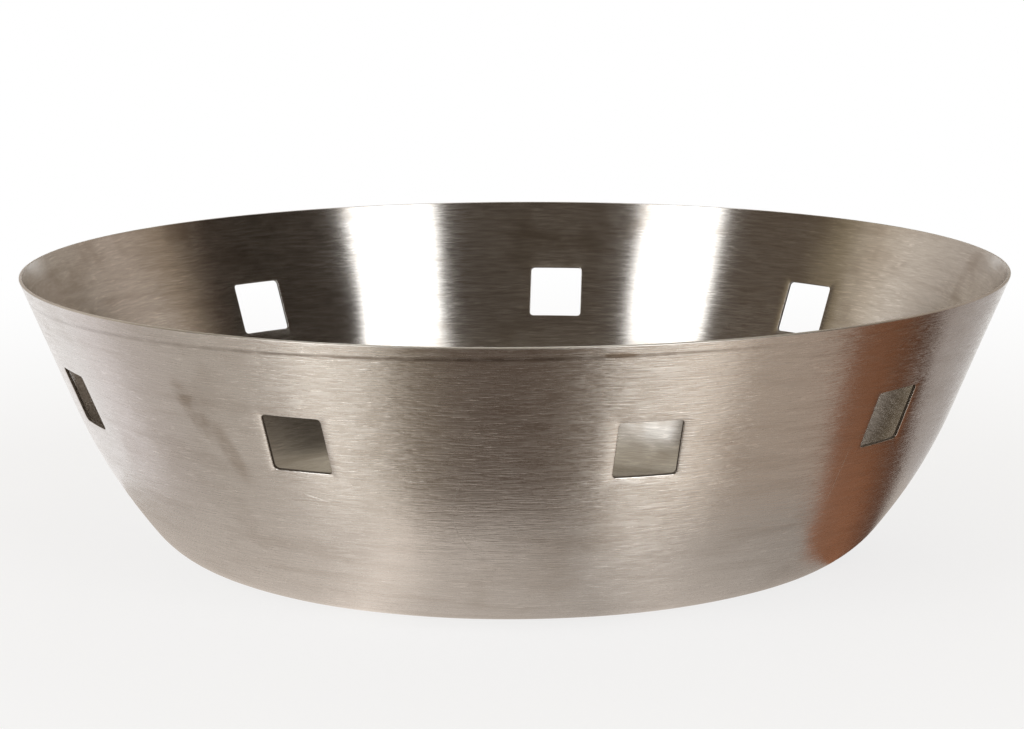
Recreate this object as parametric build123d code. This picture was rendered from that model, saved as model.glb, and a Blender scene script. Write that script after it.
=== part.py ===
from build123d import *
import math
import os

# A round bowl pressed from one sheet of stainless steel, with one row of square windows
# punched through its wall. It is a single piece of metal: there is no foot, lid, handle,
# liner or fastener, and nothing on it moves.
#
# Millimetres and degrees. +Z is up along the bowl's axis. The origin is the centre of the
# circle that the bowl stands on, so the floor is at Z = 0. The front is at -Y, and the
# azimuth of a window is counted from the front, positive towards +X.

os.makedirs("parts", exist_ok=True)

# ---------------------------------------------------------------- driving dimensions
RIM_DIAMETER = 200.0        # over the outside of the rim
SHEET = 0.6                 # thickness of the metal, the same everywhere

# The outside of the wall from the rim down: a straight cone, then two tangent curves.
WALL_LEAN = 22.4            # lean of the straight cone, from vertical
STRAIGHT_WALL = 27.6        # length of the straight cone, along the wall
BELLY_RADIUS = 106.0        # slow curve below the cone
BELLY_LEAN = 38.0           # lean where the slow curve ends
HEEL_RADIUS = 19.4          # tight curve that ends flat on the floor

# The base stands on a flat ring, and inside the ring the sheet is raised a little.
BASE_RISE = 0.8             # height of the raised panel above the floor
RISE_SLOPE = 20.0           # steepest slope of the step up to the panel
RISE_RADIUS = 46.0          # where the step up begins, at the panel's edge

# A fine line is rolled into the outside of the wall just below the rim.
RIM_LINE_DEPTH = 0.06
RIM_LINE_WIDTH = 0.9
RIM_LINE_BELOW_EDGE = 3.3   # from the rim's edge to the middle of the line, along the wall

# The row of windows.
WINDOW_COUNT = 9
WINDOW_WIDTH = 11.9
WINDOW_HEIGHT = 11.6        # along the wall
WINDOW_CORNER = 0.8
WINDOW_BELOW_EDGE = 22.0    # from the rim's edge to a window's centre, along the wall
FIRST_WINDOW = 14.8         # azimuth of the window right of the front
WINDOW_DRIFT = {1: -5.6, 3: -0.9, 4: -0.9, 5: 4.9, 6: 4.4}   # degrees out of step, by window

# ---------------------------------------------------------------- sizes that follow
WINDOW_STEP = 360.0 / WINDOW_COUNT
EDGE_RADIUS = SHEET / 2     # the cut edge of the rim is rounded over
RISE_BEND = BASE_RISE / (2 * (1 - math.cos(math.radians(RISE_SLOPE))))
RIM_LINE_BEND = (RIM_LINE_WIDTH ** 2 / 4 + RIM_LINE_DEPTH ** 2) / (2 * RIM_LINE_DEPTH)
lean = math.radians(WALL_LEAN)
belly_lean = math.radians(BELLY_LEAN)

# How far the outside travels, outwards and upwards, from the base ring to the wall's end.
wall_run = (
    HEEL_RADIUS * math.cos(belly_lean)
    + BELLY_RADIUS * (math.cos(lean) - math.cos(belly_lean))
    + STRAIGHT_WALL * math.sin(lean)
)
wall_rise = (
    HEEL_RADIUS * (1 - math.sin(belly_lean))
    + BELLY_RADIUS * (math.sin(belly_lean) - math.sin(lean))
    + STRAIGHT_WALL * math.cos(lean)
)
WALL_END_RADIUS = RIM_DIAMETER / 2 - EDGE_RADIUS * (1 - math.cos(lean))
BASE_RADIUS = WALL_END_RADIUS - wall_run
HEIGHT = wall_rise + EDGE_RADIUS * (1 + math.sin(lean))


def wall_point(below_edge, depth=0.0):
    """Radius and height of a point on the outside of the cone, or that far inside it."""
    along = below_edge - EDGE_RADIUS
    radius = WALL_END_RADIUS - along * math.sin(lean) - depth * math.cos(lean)
    height = wall_rise - along * math.cos(lean) + depth * math.sin(lean)
    return radius, height


def base_and_curves(gauge):
    """The half section from the axis to the cone, on the outside or a gauge inside it."""
    panel = Line((0, BASE_RISE + gauge), (RISE_RADIUS, BASE_RISE + gauge))
    step_down = JernArc(panel @ 1, panel % 1, RISE_BEND + gauge, -RISE_SLOPE)
    step_out = JernArc(step_down @ 1, step_down % 1, RISE_BEND - gauge, RISE_SLOPE)
    ring = Line(step_out @ 1, (BASE_RADIUS, gauge))
    heel = JernArc(ring @ 1, (1, 0), HEEL_RADIUS - gauge, 90 - BELLY_LEAN)
    belly = JernArc(heel @ 1, heel % 1, BELLY_RADIUS - gauge, BELLY_LEAN - WALL_LEAN)
    return [panel, step_down, step_out, ring, heel, belly]


def rim_line():
    """The rolled line's shallow arc, from its lower lip to its upper lip."""
    lower = wall_point(RIM_LINE_BELOW_EDGE + RIM_LINE_WIDTH / 2)
    bottom = wall_point(RIM_LINE_BELOW_EDGE, RIM_LINE_DEPTH)
    upper = wall_point(RIM_LINE_BELOW_EDGE - RIM_LINE_WIDTH / 2)
    return ThreePointArc(lower, bottom, upper)


def half_section():
    """The sheet cut through the axis: its outside, its rounded edge and its inside."""
    outside = base_and_curves(0)
    inside = base_and_curves(SHEET)
    line = rim_line()
    lower_cone = Line(outside[-1] @ 1, line @ 0)
    upper_cone = Line(line @ 1, wall_point(EDGE_RADIUS))
    edge = JernArc(upper_cone @ 1, upper_cone % 1, EDGE_RADIUS, 180)
    inner_cone = Line(edge @ 1, inside[-1] @ 1)
    axis = Line((0, BASE_RISE), (0, BASE_RISE + SHEET))
    outline = outside + [lower_cone, line, upper_cone, edge, inner_cone] + inside + [axis]
    return make_face(outline)


def window_azimuths():
    """One azimuth for each window, counted from the front."""
    return [
        FIRST_WINDOW + WINDOW_STEP * number + WINDOW_DRIFT.get(number, 0.0)
        for number in range(WINDOW_COUNT)
    ]


def window_punch(azimuth):
    """The punch for one window: a square bar with rounded corners, square to the wall."""
    radius, height = wall_point(WINDOW_BELOW_EDGE, SHEET / 2)
    turn = math.radians(azimuth)
    outwards = (math.sin(turn), -math.cos(turn))
    centre = (radius * outwards[0], radius * outwards[1], height)
    normal = (
        outwards[0] * math.cos(lean),
        outwards[1] * math.cos(lean),
        -math.sin(lean),
    )
    along_rim = (math.cos(turn), math.sin(turn), 0)
    plane = Plane(origin=centre, x_dir=along_rim, z_dir=normal)
    outline = plane * RectangleRounded(WINDOW_WIDTH, WINDOW_HEIGHT, WINDOW_CORNER)
    return extrude(outline, amount=6 * SHEET, both=True)


def bowl_shell():
    """The whole bowl: the section turned about the axis, then punched."""
    shell = revolve(Plane.XZ * half_section(), Axis.Z)
    for azimuth in window_azimuths():
        shell -= window_punch(azimuth)
    return shell


shell = bowl_shell()
export_step(shell, "parts/bowl_shell.step")

print(f"height {HEIGHT:.2f}, base ring radius {BASE_RADIUS:.2f}")
print("windows at", [round(azimuth % 360, 1) for azimuth in window_azimuths()])
print(f"volume {shell.volume:.0f} mm3, box {shell.bounding_box()}")
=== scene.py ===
# %% [markdown]
# # A pierced bowl in brushed stainless steel
#
# The real bowl is one disc of thin stainless sheet. A press draws it into a flared bowl, the edge
# is trimmed, the wall is brushed while the bowl spins, and a punch cuts a row of square windows.
# This lesson rebuilds it in that order: first the shape of the sheet, then its edges and windows,
# then the finish, and last a quiet studio to look at it in.
#
# The measured model is loaded first. It gives the place and size of everything that follows.

# %% Load the measured model
import math
import random

import bmesh
import bpy
from mathutils import Matrix, Vector


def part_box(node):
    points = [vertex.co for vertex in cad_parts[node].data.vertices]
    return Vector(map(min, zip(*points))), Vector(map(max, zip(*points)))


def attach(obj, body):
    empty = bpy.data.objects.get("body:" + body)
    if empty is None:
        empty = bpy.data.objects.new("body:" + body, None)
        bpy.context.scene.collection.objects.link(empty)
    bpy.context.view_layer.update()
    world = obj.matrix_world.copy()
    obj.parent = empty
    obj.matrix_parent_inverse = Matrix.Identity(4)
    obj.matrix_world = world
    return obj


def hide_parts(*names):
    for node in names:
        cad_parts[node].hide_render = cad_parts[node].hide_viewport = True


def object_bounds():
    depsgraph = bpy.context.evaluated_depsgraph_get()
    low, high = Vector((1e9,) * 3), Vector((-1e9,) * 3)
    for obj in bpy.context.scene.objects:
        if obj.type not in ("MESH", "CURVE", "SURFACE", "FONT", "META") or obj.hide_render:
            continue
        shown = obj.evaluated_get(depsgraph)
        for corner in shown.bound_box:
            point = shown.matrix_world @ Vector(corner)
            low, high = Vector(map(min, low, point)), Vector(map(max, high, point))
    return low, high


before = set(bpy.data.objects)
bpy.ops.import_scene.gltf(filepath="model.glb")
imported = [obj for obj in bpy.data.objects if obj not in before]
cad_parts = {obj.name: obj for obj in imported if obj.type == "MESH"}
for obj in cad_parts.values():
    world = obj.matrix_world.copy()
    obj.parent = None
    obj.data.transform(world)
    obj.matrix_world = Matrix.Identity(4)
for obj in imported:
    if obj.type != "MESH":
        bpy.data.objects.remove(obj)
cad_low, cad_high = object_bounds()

shell_low, shell_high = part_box("bowl_shell")
RIM_RADIUS = (shell_high.x - shell_low.x) / 2
BOWL_HEIGHT = shell_high.z - shell_low.z
print(f"rim radius {RIM_RADIUS * 1000:.1f} mm, height {BOWL_HEIGHT * 1000:.1f} mm")

# %% [markdown]
# ## The section of the sheet
#
# A drawn bowl is a body of revolution, so one line describes it: the outside of the sheet from the
# axis out to the rim. A press tool is made of flats and tangent arcs, and so is this line. Each
# stretch is kept as its length and its slope at both ends, which is enough to walk along it
# exactly. Slope is counted from level, so the flat base is 0 and a vertical wall would be 90.

# %% Driving sizes, in metres and degrees
SHEET = 0.0006              # thickness of the metal
WALL_SLOPE = 67.6           # the straight cone under the rim
STRAIGHT_WALL = 0.0276      # its length
BELLY_RADIUS = 0.106        # the slow curve below the cone
BELLY_SLOPE = 52.0          # slope where the slow curve starts
HEEL_RADIUS = 0.0194        # the tight curve off the floor
BASE_RISE = 0.0008          # the middle of the base stands this far off the floor
RISE_SLOPE = 20.0
RISE_RADIUS = 0.046         # radius of the raised middle
EDGE_RADIUS = SHEET / 2     # the measured model's edge is a full round


# %% Stretches of the section
def straight(length, slope):
    """A flat stretch of the sheet: length, slope at its start, slope at its end."""
    return length, math.radians(slope), math.radians(slope)


def bend(radius, slope_from, slope_to):
    """A stretch that curves from one slope to another on a radius."""
    turn = math.radians(abs(slope_to - slope_from))
    return radius * turn, math.radians(slope_from), math.radians(slope_to)


def advance(length, slope_from, slope_to):
    """How far a stretch goes outwards and upwards."""
    if slope_from == slope_to:
        return length * math.cos(slope_from), length * math.sin(slope_from)
    radius = length / (slope_to - slope_from)
    outwards = radius * (math.sin(slope_to) - math.sin(slope_from))
    upwards = radius * (math.cos(slope_from) - math.cos(slope_to))
    return outwards, upwards


rise_bend = BASE_RISE / (2 * (1 - math.cos(math.radians(RISE_SLOPE))))
wall = [
    bend(HEEL_RADIUS, 0, BELLY_SLOPE),
    bend(BELLY_RADIUS, BELLY_SLOPE, WALL_SLOPE),
    straight(STRAIGHT_WALL, WALL_SLOPE),
]
step = [bend(rise_bend, 0, -RISE_SLOPE), bend(rise_bend, -RISE_SLOPE, 0)]
edge_overhang = EDGE_RADIUS * (1 - math.sin(math.radians(WALL_SLOPE)))
base_radius = RIM_RADIUS - edge_overhang - sum(advance(*part)[0] for part in wall)
ring_width = base_radius - RISE_RADIUS - sum(advance(*part)[0] for part in step)
SECTION = [straight(RISE_RADIUS, 0), *step, straight(ring_width, 0), *wall]
SHEET_LENGTH = sum(part[0] for part in SECTION)
print(f"base ring radius {base_radius * 1000:.1f} mm, sheet length {SHEET_LENGTH * 1000:.1f} mm")


# %% Walk along the sheet
def walk(run):
    """Radius, height and slope of the outside at a distance along the sheet from the axis."""
    radius, height = 0.0, BASE_RISE
    for length, slope_from, slope_to in SECTION[:-1]:
        if run <= length:
            break
        out, up = advance(length, slope_from, slope_to)
        radius, height, run = radius + out, height + up, run - length
    else:
        length, slope_from, slope_to = SECTION[-1]
    slope = slope_from + (slope_to - slope_from) * run / length
    out, up = advance(run, slope_from, slope) if slope != slope_from else (
        run * math.cos(slope), run * math.sin(slope))
    return radius + out, height + up, slope


HEEL_RUN = SHEET_LENGTH - STRAIGHT_WALL - wall[1][0] - wall[0][0]
rim_radius, rim_height, rim_slope = walk(SHEET_LENGTH)
print(f"the wall ends at radius {rim_radius * 1000:.2f}, height {rim_height * 1000:.2f} mm")

# %% [markdown]
# ## Marks of the tools
#
# A perfect surface looks false in polished metal, because reflections show every deviation. Three
# marks are put in the shape itself. The sheet is a few hundredths of a millimetre out of true, as
# any drawn and hand-held sheet is. A fine line is rolled into the outside just under the rim,
# where the trimming tool bore on it; the blank sat a little off centre, so the line comes nearer
# to the rim on one side. And the sheet is drawn in a little round each window, because a punch
# drags the metal before it shears.

# %% The row of windows
WINDOW_COUNT = 9
WINDOW_WIDTH = 0.0119
WINDOW_HEIGHT = 0.0116
WINDOW_CORNER = 0.0008
WINDOW_RUN = SHEET_LENGTH + EDGE_RADIUS - 0.0220   # centre, 22 mm below the edge
FIRST_WINDOW = 14.8                                # degrees round from the front
WINDOW_DRIFT = {1: -5.6, 3: -0.9, 4: -0.9, 5: 4.9, 6: 4.4}  # degrees out of step
window_azimuths = [
    math.radians(FIRST_WINDOW + 360 / WINDOW_COUNT * number + WINDOW_DRIFT.get(number, 0))
    for number in range(WINDOW_COUNT)
]
print("windows at", [round(math.degrees(azimuth), 1) for azimuth in window_azimuths])

# %% Out of true
WOBBLE = 0.00005
dice = random.Random(7)
wobbles = [
    (waves, dice.uniform(0, math.tau), dice.uniform(0, math.tau), dice.uniform(0.4, 1.0))
    for waves in (2, 3, 5, 7, 9, 13)
]


def out_of_true(azimuth, run):
    """How far the sheet stands inside its true place. It dies out at the rim and the base."""
    share = (run - HEEL_RUN) / (SHEET_LENGTH - HEEL_RUN)
    if not 0 < share < 1:
        return 0.0
    hold = math.sin(math.pi * share)
    total = sum(
        size * math.sin(waves * azimuth + turn + 1.7 * math.sin(tilt + 5 * share))
        for waves, turn, tilt, size in wobbles
    )
    return WOBBLE * hold * total


# %% The rolled line and the pull of the punch
LINE_BELOW_EDGE = 0.0035    # on the average
LINE_OFF_CENTRE = 0.0013
LINE_NEAREST = math.radians(40)
LINE_WIDTH = 0.0009
LINE_DEPTH = 0.00004
LINE_RUN = SHEET_LENGTH + EDGE_RADIUS - LINE_BELOW_EDGE
PUNCH_PULL = 0.00017
PUNCH_REACH = 0.0009


def line_shift(azimuth):
    """How much nearer to the rim the line runs here than on the average."""
    return LINE_OFF_CENTRE * math.cos(azimuth - LINE_NEAREST)


def rolled_line(azimuth, run):
    """Depth of the rolled line at a place on the sheet."""
    off = abs(run - LINE_RUN - line_shift(azimuth)) / (LINE_WIDTH / 2)
    return LINE_DEPTH * (0.5 + 0.5 * math.cos(math.pi * off)) if off < 1 else 0.0


def punch_pull(across, along):
    """How far the sheet is drawn in, at a place measured from a window's centre."""
    beside = max(abs(across) - WINDOW_WIDTH / 2, 0.0)
    above = max(abs(along) - WINDOW_HEIGHT / 2, 0.0)
    return PUNCH_PULL * math.exp(-math.hypot(beside, above) / PUNCH_REACH)


def on_sheet(azimuth, run, depth=0.0):
    """A point of the sheet: round from the front, along from the axis, in from the outside."""
    radius, height, slope = walk(run)
    depth += out_of_true(azimuth, run)
    for window in window_azimuths:
        across = math.remainder(azimuth - window, math.tau) * radius
        if abs(across) < WINDOW_WIDTH and abs(run - WINDOW_RUN) < WINDOW_WIDTH:
            depth += punch_pull(across, run - WINDOW_RUN)
    radius -= depth * math.sin(slope)
    height += depth * math.cos(slope)
    return radius * math.sin(azimuth), -radius * math.cos(azimuth), height


# %% [markdown]
# ## A net of faces over the sheet
#
# Boolean cuts leave long thin triangles, and those show as flaws in a reflection. So the faces of
# the net are laid one by one. Rings run round the bowl and spokes run up it. Where a window goes,
# a square patch is left out of the net, and that patch is filled with rings of its own, which
# change step by step from the patch's square border to the window's rounded outline.

# %% A small mesh builder
class Net:
    """Vertices and faces as they are laid, with the finish that each face takes."""

    def __init__(self):
        self.points = []
        self.faces = []
        self.finishes = []

    def point(self, place):
        self.points.append(place)
        return len(self.points) - 1

    def face(self, corners, finish):
        self.faces.append(corners)
        self.finishes.append(finish)

    def bridge(self, ring, other, finish):
        """A band of quads between two closed rings that have the same count."""
        for here in range(len(ring)):
            after = (here + 1) % len(ring)
            self.face((ring[here], ring[after], other[after], other[here]), finish)


OUTSIDE, INSIDE, TRIMMED, SHEARED = range(4)

# %% Where the spokes and rings run
PATCH = 0.0100              # half the side of a window's patch
PATCH_CELLS = 20            # faces along each side of a patch
GAP_CELLS = 16              # spokes from one patch to the next


def spread(first, last, cells):
    """Evenly spaced places from first up to, but not including, last."""
    return [first + (last - first) * step / cells for step in range(cells)]


patch_turn = PATCH / walk(WINDOW_RUN)[0]
spokes = []
for number, window in enumerate(window_azimuths):
    if number + 1 < WINDOW_COUNT:
        following = window_azimuths[number + 1]
    else:
        following = window_azimuths[0] + math.tau
    spokes += spread(window - patch_turn, window + patch_turn, PATCH_CELLS)
    spokes += spread(window + patch_turn, following - patch_turn, GAP_CELLS)

STEP_RUN = RISE_RADIUS + sum(part[0] for part in step)
BELLY_RUN = HEEL_RUN + wall[0][0]
patch_low, patch_high = WINDOW_RUN - PATCH, WINDOW_RUN + PATCH
line_low, line_high = LINE_RUN - LINE_WIDTH / 2, LINE_RUN + LINE_WIDTH / 2
rings = (
    spread(0.002, RISE_RADIUS, 7)
    + spread(RISE_RADIUS, STEP_RUN, 8)
    + spread(STEP_RUN, HEEL_RUN, 3)
    + spread(HEEL_RUN, BELLY_RUN, 14)
    + spread(BELLY_RUN, patch_low, 10)
    + spread(patch_low, patch_high, PATCH_CELLS)
    + spread(patch_high, line_low, 6)
    + spread(line_low, line_high, 8)
    + spread(line_high, SHEET_LENGTH, 5)
    + [SHEET_LENGTH]
)
patch_row = rings.index(patch_low)
print(f"{len(spokes)} spokes, {len(rings)} rings")


def ring_run(run, azimuth):
    """Bends the rings above the patches, so that they keep their place beside the line."""
    if run <= patch_high:
        return run
    if run < line_low:
        share = (run - patch_high) / (line_low - patch_high)
    else:
        share = min(1.0, (SHEET_LENGTH - run) / (SHEET_LENGTH - line_high))
    return run + share * line_shift(azimuth)


# %% The outline of a window
CORNER_CELLS = 3            # faces on each half of a rounded corner


def rounded_side(half_along, half_out, corner):
    """One side of a rounded window as (along, out), from mid-corner to mid-corner."""
    reach = half_along - corner
    cells = PATCH_CELLS - 2 * CORNER_CELLS

    def corner_point(turn, centre):
        turn = math.radians(turn)
        return centre + corner * math.sin(turn), half_out - corner + corner * math.cos(turn)

    side = [corner_point(turn, -reach) for turn in spread(-45, 0, CORNER_CELLS)]
    side += [(along, half_out) for along in spread(-reach, reach, cells)]
    side += [corner_point(turn, reach) for turn in spread(0, 45, CORNER_CELLS)]
    return side


def window_outline(swell):
    """The whole outline as (across, along), swollen evenly, from the lower left corner round."""
    half_width, half_height = WINDOW_WIDTH / 2 + swell, WINDOW_HEIGHT / 2 + swell
    corner = WINDOW_CORNER + swell
    half = [(along, -out) for along, out in rounded_side(half_width, half_height, corner)]
    half += [(out, along) for along, out in rounded_side(half_height, half_width, corner)]
    return half + [(-across, -along) for across, along in half]


print(f"{len(window_outline(0))} points round each window")


# %% Lay one face of the sheet
PATCH_RINGS = 8             # rings from a patch's border to the window
PATCH_EASE = 1.8            # how much closer together they lie near the window
INSIDE_PRESS = 0.4          # share of the rolled line's depth that shows inside


def in_patch(row, column):
    """True for a crossing that lies inside a patch, not on its border."""
    within = column % (PATCH_CELLS + GAP_CELLS)
    return 0 < within < PATCH_CELLS and patch_row < row < patch_row + PATCH_CELLS


def beside_window(window, across, along):
    """Azimuth and run of a place measured from a window's centre."""
    run = WINDOW_RUN + along
    return window + math.asin(across / walk(run)[0]), run


def on_skin(azimuth, run, skin):
    """A point on one face of the sheet: skin 0 is the outside, 1 the inside."""
    press = rolled_line(azimuth, run)
    return on_sheet(azimuth, run, SHEET * skin + (INSIDE_PRESS * press if skin else press))


def lay_surface(net, skin, window_swell, finish):
    """Covers one side of the sheet. Returns its top ring and the loop round each window."""
    count = len(spokes)
    table = [
        [
            None if in_patch(row, column)
            else net.point(on_skin(azimuth, ring_run(run, azimuth), skin))
            for column, azimuth in enumerate(spokes)
        ]
        for row, run in enumerate(rings)
    ]
    middle = net.point(on_skin(0, 0, skin))
    for column in range(count):
        net.face((middle, table[0][column], table[0][(column + 1) % count]), finish)
    for row in range(len(rings) - 1):
        for column in range(count):
            inside_rows = patch_row <= row < patch_row + PATCH_CELLS
            if inside_rows and column % (PATCH_CELLS + GAP_CELLS) < PATCH_CELLS:
                continue
            after = (column + 1) % count
            net.face((table[row][column], table[row][after],
                      table[row + 1][after], table[row + 1][column]), finish)
    loops = [
        fill_patch(net, table, number, skin, window_swell, finish)
        for number in range(WINDOW_COUNT)
    ]
    return table[-1], loops


def fill_patch(net, table, number, skin, window_swell, finish):
    """Rings from a patch's square border to its window's outline. Returns the last one."""
    first = number * (PATCH_CELLS + GAP_CELLS)
    last = first + PATCH_CELLS
    low, high = patch_row, patch_row + PATCH_CELLS
    border = (
        [(low, column) for column in range(first, last)]
        + [(row, last) for row in range(low, high)]
        + [(high, column) for column in range(last, first, -1)]
        + [(row, first) for row in range(high, low, -1)]
    )
    ring = [table[row][column] for row, column in border]
    outline = [
        beside_window(window_azimuths[number], across, along)
        for across, along in window_outline(window_swell)
    ]
    for step in range(1, PATCH_RINGS + 1):
        share = 1 - (1 - step / PATCH_RINGS) ** PATCH_EASE
        inner = []
        for (row, column), (azimuth, run) in zip(border, outline):
            from_azimuth = spokes[column]
            here = from_azimuth + (azimuth - from_azimuth) * share
            along = rings[row] + (run - rings[row]) * share
            inner.append(net.point(on_skin(here, along, skin)))
        net.bridge(ring, inner, finish)
        ring = inner
    return ring


# %% [markdown]
# ## Edges
#
# The two faces of the sheet are joined by its edges. At the rim the edge was trimmed flat and its
# corners were eased with a file, so it catches a thin line of light. At a window the punch first
# rolls the outer edge in, then shears straight through, and leaves a small sharp burr inside. The
# sheared face is torn and dull, so it gets a darker finish of its own: partly its dull torn metal,
# partly painted shade.

# %% Cut edges
EDGE_CORNER = 0.00015       # radius of the eased corners of the rim
EDGE_REACH = 0.00018        # the flat of the rim stands this far past the last ring
EDGE_CELLS = 4
ROLL_IN = 0.00015           # radius rolled by the punch on the outer edge of a window
ROLL_CELLS = 4
SHEAR_STEP = 0.4            # share of the thickness where the shear is straight
BURR = 0.00004


def eased_corner(radius, cells):
    """Steps round a quarter turn, as (how far back from the edge, how deep)."""
    turns = [math.pi / 2 * step / cells for step in range(cells + 1)]
    return [(radius * (1 - math.sin(turn)), radius * (1 - math.cos(turn))) for turn in turns]


def window_edge(net, window, outer, inner):
    """The cut face of one window, from the outer loop round the roll to the inner loop."""
    ring = outer
    roll = eased_corner(ROLL_IN, ROLL_CELLS)[1:]
    steps = roll + [(0.0, SHEET * SHEAR_STEP), (0.0, SHEET - 2 * BURR)]
    for number, (swell, depth) in enumerate(steps):
        finish = OUTSIDE if number < ROLL_CELLS // 2 else SHEARED
        loop = []
        for across, along in window_outline(swell):
            azimuth, run = beside_window(window, across, along)
            loop.append(net.point(on_sheet(azimuth, run, depth)))
        net.bridge(ring, loop, finish)
        ring = loop
    net.bridge(ring, inner, SHEARED)


def rim_edge(net, outer, inner):
    """The trimmed edge of the rim: a flat with an eased corner on each side."""
    corner = eased_corner(EDGE_CORNER, EDGE_CELLS)
    steps = [(EDGE_REACH - back, depth) for back, depth in corner]
    steps += [(reach, SHEET - depth) for reach, depth in reversed(steps)]
    ring = outer
    for reach, depth in steps:
        loop = [net.point(on_sheet(azimuth, SHEET_LENGTH + reach, depth)) for azimuth in spokes]
        net.bridge(ring, loop, TRIMMED)
        ring = loop
    net.bridge(ring, inner, TRIMMED)


# %% The whole bowl
def make_bowl():
    """Both faces of the sheet, its edges, and one mesh from them all."""
    net = Net()
    rim_out, loops_out = lay_surface(net, skin=0, window_swell=ROLL_IN, finish=OUTSIDE)
    rim_in, loops_in = lay_surface(net, skin=1, window_swell=BURR, finish=INSIDE)
    rim_edge(net, rim_out, rim_in)
    for window, outer, inner in zip(window_azimuths, loops_out, loops_in):
        window_edge(net, window, outer, inner)
    mesh = bpy.data.meshes.new("steel_bowl")
    mesh.from_pydata(net.points, [], net.faces)
    mesh.polygons.foreach_set("material_index", net.finishes)
    mesh.polygons.foreach_set("use_smooth", [True] * len(net.faces))
    mesh.update()
    return mesh


def face_outwards(mesh):
    """Turns every face so that its normal points out of the metal."""
    work = bmesh.new()
    work.from_mesh(mesh)
    bmesh.ops.recalc_face_normals(work, faces=work.faces)
    work.to_mesh(mesh)
    open_edges = sum(1 for edge in work.edges if len(edge.link_faces) != 2)
    volume = work.calc_volume()
    work.free()
    return open_edges, volume


bowl_mesh = make_bowl()
open_edges, metal = face_outwards(bowl_mesh)
bowl = bpy.data.objects.new("steel_bowl", bowl_mesh)
bpy.context.scene.collection.objects.link(bowl)
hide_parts("bowl_shell")
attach(bowl, "root")
print(f"{len(bowl_mesh.polygons)} faces, {open_edges} open edges, {metal * 1e6:.1f} cm3 of steel")

# %% [markdown]
# ## Writing shader maths as arithmetic
#
# A finish is a small sum: brushing here, a stain there, a share of each. Wired by hand it is a
# tangle of Math nodes. The class below wraps one socket, so that the same sum can be written in
# plain Python, and each operator adds the node it needs.

# %% One socket that does arithmetic
class Value:
    """A number that varies over the surface. Operators on it add Math nodes."""

    def __init__(self, bench, socket):
        self.bench = bench
        self.socket = socket

    def sum_with(self, operation, *others):
        return self.bench.add("ShaderNodeMath", {"operation": operation}, [self, *others])

    def __add__(self, other):
        return self.sum_with("ADD", other)

    def __sub__(self, other):
        return self.sum_with("SUBTRACT", other)

    def __mul__(self, other):
        return self.sum_with("MULTIPLY", other)

    def __truediv__(self, other):
        return self.sum_with("DIVIDE", other)

    def __pow__(self, other):
        return self.sum_with("POWER", other)

    def __rsub__(self, other):
        return self.bench.add("ShaderNodeMath", {"operation": "SUBTRACT"}, [other, self])

    __radd__ = __add__
    __rmul__ = __mul__

    def between(self, low, high):
        """0 below low, 1 above high, and a smooth climb from one to the other."""
        settings = {"interpolation_type": "SMOOTHSTEP"}
        inputs = {"Value": self, "From Min": low, "From Max": high}
        return self.bench.add("ShaderNodeMapRange", settings, inputs)

    def near(self, centre, reach, softness):
        """1 within reach of centre, falling to 0 over softness."""
        off = (self - centre).sum_with("ABSOLUTE")
        return 1 - off.between(reach, reach + softness)


class Bench:
    """The node tree of one material or world, with one way to add any node."""

    def __init__(self, owner):
        owner.use_nodes = True
        self.tree = owner.node_tree
        self.tree.nodes.clear()

    def add(self, kind, settings=None, inputs=None, output=0):
        """Adds a node: its type, its settings, and the values or links of its sockets."""
        node = self.tree.nodes.new(kind)
        for name, setting in (settings or {}).items():
            if name == "stops":
                self.lay_stops(node.color_ramp.elements, setting)
            else:
                setattr(node, name, setting)
        pairs = inputs.items() if isinstance(inputs, dict) else enumerate(inputs or [])
        for name, given in pairs:
            if isinstance(given, Value):
                self.tree.links.new(given.socket, node.inputs[name])
            else:
                node.inputs[name].default_value = given
        return Value(self, node.outputs[output]) if len(node.outputs) else node

    @staticmethod
    def lay_stops(elements, stops):
        """Gives a ramp its stops, each a position and a colour."""
        elements.remove(elements[-1])
        elements[0].position, elements[0].color = stops[0]
        for position, colour in stops[1:]:
            elements.new(position).color = colour

    def split(self, place):
        """The three parts of a place or a direction."""
        node = self.add("ShaderNodeSeparateXYZ", inputs=[place]).socket.node
        return [Value(self, node.outputs[index]) for index in range(3)]

    def combine(self, x, y, z):
        return self.add("ShaderNodeCombineXYZ", inputs=[x, y, z])

    def noise(self, place, detail=2.0, roughness=0.5, scale=1.0):
        inputs = {"Vector": place, "Scale": scale, "Detail": detail, "Roughness": roughness}
        return self.add("ShaderNodeTexNoise", inputs=inputs)

    def mix(self, share, first, second):
        """Mixes two colours: the first where share is 0, the second where it is 1."""
        settings = {"data_type": "RGBA"}
        return self.add("ShaderNodeMix", settings, {0: share, 6: first, 7: second}, output=2)


# %% [markdown]
# ## Brushed stainless steel
#
# The wall was brushed while the bowl turned, so every scratch runs round it. Light spreads across
# such scratches and hardly along them, and that draws a lamp out into a tall upright band. One
# setting does most of this: anisotropy, turned a quarter so that the spread is up and down. The
# noise below adds what a lens can pick out: single strokes, glints painted into the colour as
# bright dashes, cloudy patches left by hands and rags, brown stains, and a few deep bright
# scratches.
#
# Noise is sampled in the bowl's own space. Squeezed up the wall and left long around it, it
# becomes brush strokes. Height plus radius grows all the way from the middle of the base to the
# rim, so the same squeeze works on the base, where the strokes become rings.

# %% Places on the metal
STEEL_LIGHT = (0.71, 0.70, 0.68, 1.0)
STEEL_DARK = (0.52, 0.507, 0.49, 1.0)
# The glint tone below is a painted highlight for bright dashes. The light scratches are lifted to
# it too.
STEEL_GLINT = (0.92, 0.91, 0.89, 1.0)
STAIN_BROWN = (0.34, 0.295, 0.25, 1.0)
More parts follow.
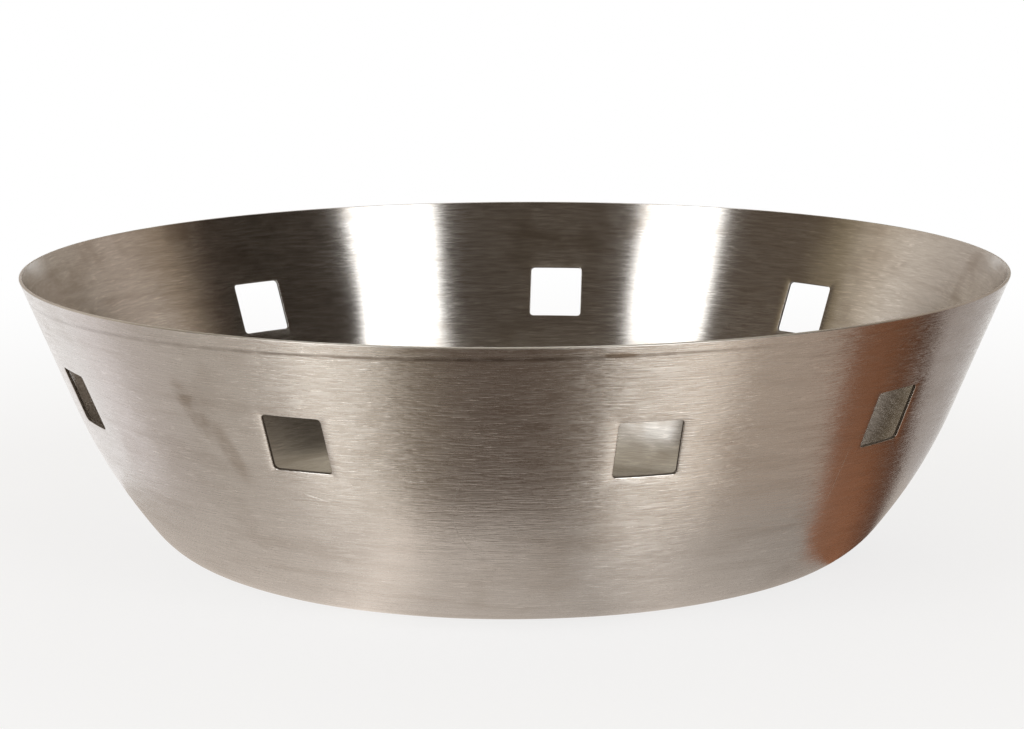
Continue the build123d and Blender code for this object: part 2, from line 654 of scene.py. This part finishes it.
# The tone below is painted shade for the rolled line.
LINE_PAINTED_SHADE = (0.17, 0.14, 0.115, 1.0)
# The two torn tones below are darkened partly as dull torn metal and partly as painted shade.
TORN_AND_SHADED_DARK = (0.05, 0.04, 0.03, 1.0)
TORN_AND_SHADED_LIGHT = (0.16, 0.14, 0.12, 1.0)


class Metal:
    """The places on the bowl that its finishes are drawn by, in metres."""

    def __init__(self, bench):
        self.bench = bench
        self.x, self.y, self.z = bench.split(bench.add("ShaderNodeTexCoord", output=3))
        self.radius = (self.x * self.x + self.y * self.y) ** 0.5
        self.climb = self.z + self.radius

    def strokes(self, length, width, slant=0.0, detail=2.0):
        """Noise drawn out round the bowl: strokes of about that length and width."""
        climb = self.climb + self.x * slant if slant else self.climb
        drawn = self.bench.combine(
            self.x * (1 / length), self.y * (1 / length), climb * (1 / width))
        return self.bench.noise(drawn, detail=detail, roughness=0.6)

    def clouds(self, size, squeeze=1.0, detail=2.0):
        """Soft patches of about that size."""
        drawn = self.bench.combine(self.x, self.y, self.z * squeeze)
        return self.bench.noise(drawn, detail=detail, scale=1 / size)

    def beside(self, azimuth, height, lean=0.0):
        """Distances across and up from a spot on the wall, turned by lean degrees."""
        turn, lean = math.radians(azimuth), math.radians(lean)
        across = self.x * math.cos(turn) + self.y * math.sin(turn)
        front = (self.x * math.sin(turn) - self.y * math.cos(turn)).between(0.0, 0.02)
        up = self.z - height
        return (across * math.cos(lean) + up * math.sin(lean),
                up * math.cos(lean) - across * math.sin(lean), front)

    def smudge(self, azimuth, height, half_width, half_height, lean=0.0):
        """A soft oval mark on the wall."""
        across, up, front = self.beside(azimuth, height, lean)
        off = ((across * (1 / half_width)) ** 2 + (up * (1 / half_height)) ** 2) ** 0.5
        return (1 - off.between(0.35, 1.0)) * front

    def nick(self, azimuth, height, arc_radius, half_length, lean=0.0):
        """A thin scratch, curved like a bow that opens away from the front."""
        across, up, front = self.beside(azimuth, height, lean)
        off = ((across - arc_radius) ** 2 + up ** 2) ** 0.5 - arc_radius
        side = 1 - (across * (1 / arc_radius)).between(0.6, 0.9)
        length = up.near(0, half_length * 0.6, half_length * 0.4)
        return off.near(0, 0.00005, 0.00012) * length * side * front


# %% The brushed finish
def line_shade(metal):
    """Painted shade in the rolled line, dark as a crease: most at the front, some on the left,
    little on the right.
    """
    toward = (metal.x * math.sin(LINE_NEAREST) - metal.y * math.cos(LINE_NEAREST)) / metal.radius
    line_height = shell_high.z - math.sin(rim_slope) * (LINE_BELOW_EDGE - toward * LINE_OFF_CENTRE)
    line = (metal.z - line_height).near(0, 0.00005, 0.00055)
    broken = metal.clouds(0.004).between(0.25, 0.60)
    front = metal.x.near(-0.004, 0.026, 0.034) * 0.46
    left = (1 - metal.x.between(-0.03, 0.05)) * 0.26
    return line * (front + left + 0.05) * (broken * 0.5 + 0.5)


def hand_marks(metal):
    """Brown smudges and light scratches that use has left, as (dark, light).

    Each is given by its azimuth in degrees, its height, and its half sizes in metres.
    """
    broken = metal.clouds(0.0030).between(0.35, 0.60)
    dark = (
        metal.smudge(-38.5, 0.0425, 0.0034, 0.0080, lean=28) * (broken * 0.35 + 0.25)
        + metal.smudge(-34.6, 0.0345, 0.0026, 0.0075, lean=22) * (broken * 0.20 + 0.22)
        + metal.smudge(10.2, 0.0563, 0.0052, 0.0006) * broken * 1.6
        + metal.smudge(10.7, 0.0497, 0.0012, 0.0005, lean=10) * broken
        + metal.smudge(58.9, 0.0241, 0.0016, 0.0012) * broken * 0.6
    )
    light = (
        metal.nick(-7.5, 0.0255, 0.0110, 0.0095) * 0.40
        + metal.nick(42.9, 0.0278, 0.0600, 0.0058, lean=-4) * 0.8
        + metal.nick(-24.0, 0.0273, 0.0600, 0.0028, lean=76) * 0.7
    )
    return dark, light


def steel_finish(name, roughness, anisotropy, uneven, stroke_depth, contrast, stain,
                 marked=False):
    """Brushed steel: its gloss, how uneven that is, how the strokes show, and its stains."""
    material = bpy.data.materials.new(name)
    bench = Bench(material)
    metal = Metal(bench)
    fine = metal.strokes(length=0.0042, width=0.00042)
    coarse = metal.strokes(length=0.012, width=0.0009, slant=0.03)
    dashes = metal.strokes(length=0.0034, width=0.00046, slant=-0.07, detail=1.0)
    wipes = metal.strokes(length=0.030, width=0.0045, slant=0.08, detail=3.0)
    clouds = metal.clouds(size=0.022, detail=3.0)
    blotches = metal.clouds(size=0.0085, squeeze=1.4)
    glint = dashes.between(0.58, 0.72) * clouds.between(0.30, 0.60)
    grain = fine * 0.7 + coarse * 0.3
    tone = bench.mix((grain - 0.5) * contrast + 0.5, STEEL_DARK, STEEL_LIGHT)
    # The glints are a painted highlight: bright dashes painted into the base colour.
    tone = bench.mix(glint * (contrast * 0.22), tone, STEEL_GLINT)
    patches = clouds.between(0.50, 0.72) * blotches.between(0.35, 0.65)
    stained = (patches + wipes.between(0.48, 0.72) * 0.6) * stain
    gloss = roughness + (clouds - 0.5) * 0.08 + (wipes - 0.5) * 0.06 + (fine - 0.5) * uneven
    relief = fine * 0.8 + coarse * 0.2 + glint * 0.15
    if marked:
        dark, light = hand_marks(metal)
        stained = stained + dark
        tone = bench.mix(light, tone, STEEL_GLINT)
        gloss = gloss + light * 0.35
    colour = bench.mix(stained, tone, STAIN_BROWN)
    if marked:
        # The rolled line is darkened with painted shade.
        colour = bench.mix(line_shade(metal), colour, LINE_PAINTED_SHADE)
    normal = bench.add("ShaderNodeBump", inputs={
        "Strength": 1.0, "Distance": stroke_depth, "Height": relief})
    shader = bench.add("ShaderNodeBsdfPrincipled", inputs={
        "Base Color": colour, "Metallic": 1.0, "Roughness": gloss,
        "Anisotropic": anisotropy, "Anisotropic Rotation": 0.25, "Normal": normal})
    bench.add("ShaderNodeOutputMaterial", inputs={"Surface": shader})
    return material


def sheared_finish(name):
    """The torn face that a punch leaves: dull and streaked through the sheet, and dark partly as
    torn metal, partly as painted shade.
    """
    material = bpy.data.materials.new(name)
    bench = Bench(material)
    metal = Metal(bench)
    tears = bench.noise(bench.combine(metal.x, metal.y, metal.z), detail=2.0, scale=4000.0)
    colour = bench.mix(tears.between(0.3, 0.7), TORN_AND_SHADED_DARK, TORN_AND_SHADED_LIGHT)
    shader = bench.add("ShaderNodeBsdfPrincipled", inputs={
        "Base Color": colour, "Metallic": 1.0, "Roughness": 0.42 + tears * 0.2})
    bench.add("ShaderNodeOutputMaterial", inputs={"Surface": shader})
    return material


finishes = [
    steel_finish("outside_brushed_steel", roughness=0.27, anisotropy=0.93, uneven=0.50,
                 stroke_depth=0.00013, contrast=1.6, stain=0.30, marked=True),
    steel_finish("inside_bright_steel", roughness=0.21, anisotropy=0.94, uneven=0.12,
                 stroke_depth=0.00001, contrast=2.2, stain=0.55),
    steel_finish("trimmed_edge_steel", roughness=0.34, anisotropy=0.3, uneven=0.0,
                 stroke_depth=0.000008, contrast=1.0, stain=0.2),
    sheared_finish("sheared_edge_steel"),
]
for finish in finishes:
    bowl_mesh.materials.append(finish)
print("finishes:", [material.name for material in bowl_mesh.materials])

# %% [markdown]
# ## A quiet studio
#
# Polished metal has almost no colour of its own. What is seen is the room. A product studio puts
# two tall lamps in front of the bowl, one each side of the camera, keeps the room behind the
# camera dark, and hangs white paper behind the bowl. The world below is that room, written by
# direction: elevation in degrees up or down, and a strip of the room, as said next.
#
# Brushed metal shows a room in strips. Strokes that run round the bowl throw each light up and
# down the wall, never sideways. So the room is laid out in upright strips too: one number says
# which strip a direction is in, and it is chosen so that a strip of that number is seen in the
# wall about as many degrees round from the front. The table's tones are kept apart from the
# walls' tones, since the outside of a flared bowl sees the one and the inside sees the other.

# %% Tones of the room, by strip
TABLE_TONES = [             # seen by the outside of the wall
    (-90, (1.00, 0.98, 0.96)),
    (-64, (0.98, 0.94, 0.93)),
    (-58, (0.92, 0.85, 0.84)),
    (-50, (0.64, 0.565, 0.525)),
    (-40, (0.58, 0.51, 0.45)),
    (-26, (0.62, 0.54, 0.47)),
    (-13, (0.28, 0.225, 0.17)),
    (-6, (0.135, 0.10, 0.078)),
    (3, (0.125, 0.09, 0.068)),
    (9, (0.24, 0.19, 0.15)),
    (22, (0.52, 0.42, 0.34)),
    (36, (0.50, 0.395, 0.32)),
    (47, (0.46, 0.37, 0.31)),
    (58, (0.41, 0.35, 0.32)),
    (64, (0.44, 0.39, 0.36)),
    (71, (0.54, 0.50, 0.48)),
    (78, (0.90, 0.88, 0.85)),
]
WALL_TONES = [              # seen by the inside
    (-90, (0.50, 0.43, 0.37)),
    (-72, (0.52, 0.45, 0.39)),
    (-58, (0.72, 0.63, 0.54)),
    (-52, (0.66, 0.56, 0.45)),
    (-46, (0.30, 0.24, 0.16)),
    (-40, (0.12, 0.09, 0.065)),
    (-15, (0.08, 0.06, 0.045)),
    (8, (0.06, 0.045, 0.035)),
    (36, (0.03, 0.022, 0.016)),
    (43, (0.045, 0.03, 0.022)),
    (50, (0.34, 0.26, 0.19)),
    (58, (0.50, 0.41, 0.34)),
    (74, (0.40, 0.34, 0.28)),
]
PAPER = (1.0, 0.99, 0.98, 1.0)
UNDERNEATH = (0.92, 0.83, 0.74, 1.0)
CEILING = (0.50, 0.44, 0.35, 1.0)
ROOM_STRENGTH = 1.08        # all the tones are raised by this
LAMP_TONE = (1.0, 0.985, 0.965, 1.0)
LAMP_STRENGTH = 3.2
GLOW_TONE = (1.0, 0.92, 0.82, 1.0)
GLOW_STRENGTH = 0.46        # light that the lamps throw on the table below them
LEFT_LAMP = (-21.7, 4.3, 1.8)               # strip, half width, softness, in degrees
RIGHT_LAMP = (15.9, 5.2, 1.2)
LEFT_GLOW = (-20.4, 4.6, 3.0)
RIGHT_GLOW = (18.0, 5.8, 3.2)


# %% The room as light
def round_the_room(bench, strip, tones):
    """One colour for each strip, blended between the tones."""
    stops = [((place + 90) / 180, (*colour, 1.0)) for place, colour in tones]
    return bench.add("ShaderNodeValToRGB", {"stops": stops}, [strip * (1 / 180) + 0.5])


def build_room():
    """Lamps, dark room, paper and table, and plain white where the camera looks past the bowl."""
    world = bpy.data.worlds.new("studio_room")
    bpy.context.scene.world = world
    bench = Bench(world)
    x, y, z = bench.split(bench.add("ShaderNodeTexCoord", output=0))
    strip = bench.add("ShaderNodeMath", {"operation": "ARCTAN2"}, [x, 1 - y]) * (180 / math.pi)
    elevation = z.sum_with("ARCSINE") * (180 / math.pi)
    table = round_the_room(bench, strip, TABLE_TONES)
    walls = round_the_room(bench, strip, WALL_TONES)

    # Which part of the room a direction is in.
    back = y.between(0.0, 0.35)
    low = 1 - elevation.between(-90, -64)
    middle = 1 - strip.sum_with("ABSOLUTE").between(26, 40)
    beneath = back * middle * (1 - elevation.between(-40, -15)) * 0.7
    lifted = elevation + strip * 0.15
    overhead = elevation.between(48, 66) * 0.9 + back * lifted.between(37, 55) * 0.8
    paper_seen = strip.sum_with("ABSOLUTE").between(73, 82) * elevation.near(-14, 12, 10)

    # The parts, laid over one another.
    room = bench.mix(elevation.between(-14, 8), table, walls)
    room = bench.mix(overhead, room, CEILING)
    room = bench.mix(beneath, room, UNDERNEATH)
    room = bench.mix(paper_seen, room, PAPER)

    # The lamps, brighter low down, and the light that they throw on the table.
    lamps = strip.near(*LEFT_LAMP) + strip.near(*RIGHT_LAMP)
    near_table = 1 - elevation.between(0, 12)
    lamps = lamps * elevation.between(-14, 0) * (1 - elevation.between(45, 56))
    lamps = lamps * (1 + near_table * 0.8)
    left_glow = strip.near(*LEFT_GLOW) * (1 - low * 0.6)
    right_glow = strip.near(*RIGHT_GLOW) * elevation.between(-74, -48) * 1.25
    glow = (left_glow + right_glow) * (1 - elevation.between(-14, 0))

    # All of it as light. The camera itself sees plain white behind the bowl.
    ambient = bench.add("ShaderNodeBackground", inputs={"Color": room, "Strength": ROOM_STRENGTH})
    lit = bench.add("ShaderNodeBackground", inputs={
        "Color": LAMP_TONE, "Strength": lamps * LAMP_STRENGTH})
    thrown = bench.add("ShaderNodeBackground", inputs={
        "Color": GLOW_TONE, "Strength": glow * GLOW_STRENGTH})
    light = bench.add("ShaderNodeAddShader", inputs=[lit, thrown])
    light = bench.add("ShaderNodeAddShader", inputs=[ambient, light])
    paper = bench.add("ShaderNodeBackground", inputs={"Color": (1, 1, 1, 1), "Strength": 1.0})
    seen = bench.add("ShaderNodeLightPath", output=0)
    shown = bench.add("ShaderNodeMixShader", inputs=[seen, light, paper])
    bench.add("ShaderNodeOutputWorld", inputs={"Surface": shown})


build_room()


# %% [markdown]
# ## Two things that lie close to the bowl
#
# A world written by direction has everything far away. What lies close is seen differently by the
# top of the wall and by its foot, so two things are real sheets on the table: a brown card that
# runs off to the right, and a bright mat close round the bowl. Both only glow, and only the metal
# sees them.

# %% Their sizes and tones, in metres
CARD_NEAR, CARD_FAR = 0.063, 0.90           # where it begins and ends, right of the axis
CARD_LEFT = (-0.0300, -0.31)                # its two sides: y on the axis, and slope
CARD_RIGHT = (-0.016, 0.14)
CARD_HEIGHT = 0.0003
CARD_STEPS, CARD_LANES = 24, 8
CARD_FALL = (0.085, 0.15)                   # between these x it gets darker
CARD_FAR_SHARE = 0.35
CARD_FAR_TONE = (0.08, 0.04, 0.02, 1.0)
CARD_STOPS = [                              # from its left side to its right
    (0.00, (0.42, 0.27, 0.21, 1.0)),
    (0.10, (0.34, 0.165, 0.10, 1.0)),
    (0.45, (0.32, 0.135, 0.07, 1.0)),
    (0.70, (0.17, 0.072, 0.04, 1.0)),
    (0.90, (0.12, 0.065, 0.045, 1.0)),
    (1.00, (0.16, 0.11, 0.09, 1.0)),
]
MAT_FROM, MAT_TO = 0.0625, 0.098            # radii of the ring
MAT_HEIGHT = CARD_HEIGHT / 3
MAT_SPOKES = 96
MAT_TINT = (1.0, 0.88, 0.785)
MAT_TONES = [                               # how bright it is, by x
    (-0.090, 0.60),
    (-0.052, 0.78),
    (-0.040, 0.84),
    (-0.029, 1.10),
    (-0.017, 0.76),
    (0.0, 0.66),
    (0.015, 0.56),
    (0.028, 0.76),
    (0.042, 0.62),
    (0.054, 0.52),
    (0.070, 0.42),
    (0.098, 0.60),
]


# %% Sheets that only the metal sees
def make_sheet(name, points, faces, height, finish):
    """A glowing sheet on the table, hidden from the camera and from everything that is matt."""
    mesh = bpy.data.meshes.new(name)
    mesh.from_pydata(points, [], faces)
    mesh.materials.append(finish)
    sheet = bpy.data.objects.new(name, mesh)
    bpy.context.scene.collection.objects.link(sheet)
    sheet.location.z = cad_low.z + height
    sheet.visible_camera = sheet.visible_diffuse = sheet.visible_shadow = False
    return sheet


def glow_finish(name, tone_at):
    """A plain glow. Its tone at each place comes from a function of the bench, x and y."""
    material = bpy.data.materials.new(name)
    bench = Bench(material)
    x, y, _ = bench.split(bench.add("ShaderNodeTexCoord", output=3))
    shader = bench.add("ShaderNodeBsdfPrincipled", inputs={
        "Base Color": (0, 0, 0, 1), "Specular IOR Level": 0.0, "Roughness": 1.0,
        "Emission Color": tone_at(bench, x, y), "Emission Strength": 1.0})
    bench.add("ShaderNodeOutputMaterial", inputs={"Surface": shader})
    return material


def card_sides(x):
    """Where the card's left and right sides are, at a distance right of the axis."""
    return [start + slope * x for start, slope in (CARD_LEFT, CARD_RIGHT)]


def card_tone(bench, x, y):
    """Brown from side to side, darker towards the right, and darker further off."""
    left, right = card_sides(x)
    share = (y - left) / (right - left)
    across = bench.add("ShaderNodeValToRGB", {"stops": CARD_STOPS}, [share])
    return bench.mix(x.between(*CARD_FALL) * CARD_FAR_SHARE, across, CARD_FAR_TONE)


def mat_tone(bench, x, y):
    """Bright paper, brightest where the lamps fall on it."""
    stops = [
        (0.5 + place / (2 * MAT_TO), tuple(tone * part for part in MAT_TINT) + (1.0,))
        for place, tone in MAT_TONES
    ]
    return bench.add("ShaderNodeValToRGB", {"stops": stops}, [x * (1 / (2 * MAT_TO)) + 0.5])


def make_card():
    """A long card, in steps that grow as it runs away from the bowl."""
    points, faces = [], []
    for step in range(CARD_STEPS + 1):
        x = CARD_NEAR + (CARD_FAR - CARD_NEAR) * (step / CARD_STEPS) ** 2
        left, right = card_sides(x)
        for lane in range(CARD_LANES + 1):
            points.append((x, left + (right - left) * lane / CARD_LANES, 0.0))
    row = CARD_LANES + 1
    for step in range(CARD_STEPS):
        for lane in range(CARD_LANES):
            here = step * row + lane
            faces.append((here, here + row, here + row + 1, here + 1))
    finish = glow_finish("studio_card_brown", card_tone)
    return make_sheet("studio_card", points, faces, CARD_HEIGHT, finish)


def make_mat():
    """A flat ring close round the bowl."""
    points, faces = [], []
    for radius in (MAT_FROM, MAT_TO):
        for spoke in range(MAT_SPOKES):
            turn = math.tau * spoke / MAT_SPOKES
            points.append((radius * math.cos(turn), radius * math.sin(turn), 0.0))
    for spoke in range(MAT_SPOKES):
        after = (spoke + 1) % MAT_SPOKES
        faces.append((spoke, MAT_SPOKES + spoke, MAT_SPOKES + after, after))
    finish = glow_finish("studio_mat_paper", mat_tone)
    return make_sheet("studio_mat", points, faces, MAT_HEIGHT, finish)


card = make_card()
mat = make_mat()
print("sheets that only the metal sees:", card.name, mat.name)


# %% The floor
FLOOR_REACH = 3.0
FLOOR_RINGS, FLOOR_SPOKES = 24, 96
FLOOR_GAP = 0.0001          # the floor lies this far under the bowl
FLOOR_FADE = (0.08, 0.40)   # from the first radius to the second, matt paper gives way to glow
FLOOR_GLOW = 0.78           # the glow's share inside the first radius


def make_floor():
    """A round pale floor that fades into the white paper behind it."""
    points, faces = [(0.0, 0.0, 0.0)], []
    for ring in range(1, FLOOR_RINGS + 1):
        radius = FLOOR_REACH * (ring / FLOOR_RINGS) ** 2
        for spoke in range(FLOOR_SPOKES):
            turn = math.tau * spoke / FLOOR_SPOKES
            points.append((radius * math.cos(turn), radius * math.sin(turn), 0.0))
    for spoke in range(FLOOR_SPOKES):
        faces.append((0, 1 + spoke, 1 + (spoke + 1) % FLOOR_SPOKES))
    for ring in range(FLOOR_RINGS - 1):
        start, outer = 1 + ring * FLOOR_SPOKES, 1 + (ring + 1) * FLOOR_SPOKES
        for spoke in range(FLOOR_SPOKES):
            after = (spoke + 1) % FLOOR_SPOKES
            faces.append((start + spoke, outer + spoke, outer + after, start + after))
    mesh = bpy.data.meshes.new("studio_floor")
    mesh.from_pydata(points, [], faces)
    floor = bpy.data.objects.new("studio_floor", mesh)
    bpy.context.scene.collection.objects.link(floor)
    floor.location.z = cad_low.z - FLOOR_GAP
    floor.visible_glossy = False
    return floor


def floor_finish():
    """Matt white near the bowl, so that it takes a shadow, and plain light further off."""
    material = bpy.data.materials.new("studio_floor_paper")
    bench = Bench(material)
    x, y, _ = bench.split(bench.add("ShaderNodeTexCoord", output=3))
    radius = (x * x + y * y) ** 0.5
    matt = bench.add("ShaderNodeBsdfDiffuse", inputs={"Color": (0.9, 0.9, 0.9, 1)})
    glow = bench.add("ShaderNodeEmission", inputs={"Color": (1, 1, 1, 1), "Strength": 1.0})
    share = radius.between(*FLOOR_FADE) * (1 - FLOOR_GLOW) + FLOOR_GLOW
    paper = bench.add("ShaderNodeMixShader", inputs=[share, matt, glow])
    bench.add("ShaderNodeOutputMaterial", inputs={"Surface": paper})
    return material


floor = make_floor()
floor.data.materials.append(floor_finish())
print(f"floor {2 * FLOOR_REACH:.0f} m across")

# %% [markdown]
# ## The camera
#
# A long lens from a little above the rim, close enough that the near rim dips below the far one.
# Its place is counted in rim radii from the middle of the rim, so it would follow a larger bowl.

# %% Place the camera
CAMERA_BACK = 5.929         # rim radii in front of the axis
CAMERA_ABOVE = 0.868        # rim radii above the rim
LENS = 103.07               # millimetres, on a sensor 36 mm wide
PITCH, YAW, ROLL = 0.1802, -0.0011, -0.0055     # radians: down, to the side, round the lens

camera_data = bpy.data.cameras.new("camera")
camera_data.sensor_width = 36.0
camera_data.lens = LENS
camera = bpy.data.objects.new("camera", camera_data)
bpy.context.scene.collection.objects.link(camera)
place = Vector((0, -CAMERA_BACK * RIM_RADIUS, shell_high.z + CAMERA_ABOVE * RIM_RADIUS))
camera.matrix_world = (
    Matrix.Translation(place)
    @ Matrix.Rotation(-YAW, 4, "Z")
    @ Matrix.Rotation(math.pi / 2 - PITCH, 4, "X")
    @ Matrix.Rotation(ROLL, 4, "Z")
)
bpy.context.scene.camera = camera
bpy.context.scene.view_settings.view_transform = "Standard"
print("camera at", [round(value, 3) for value in place])
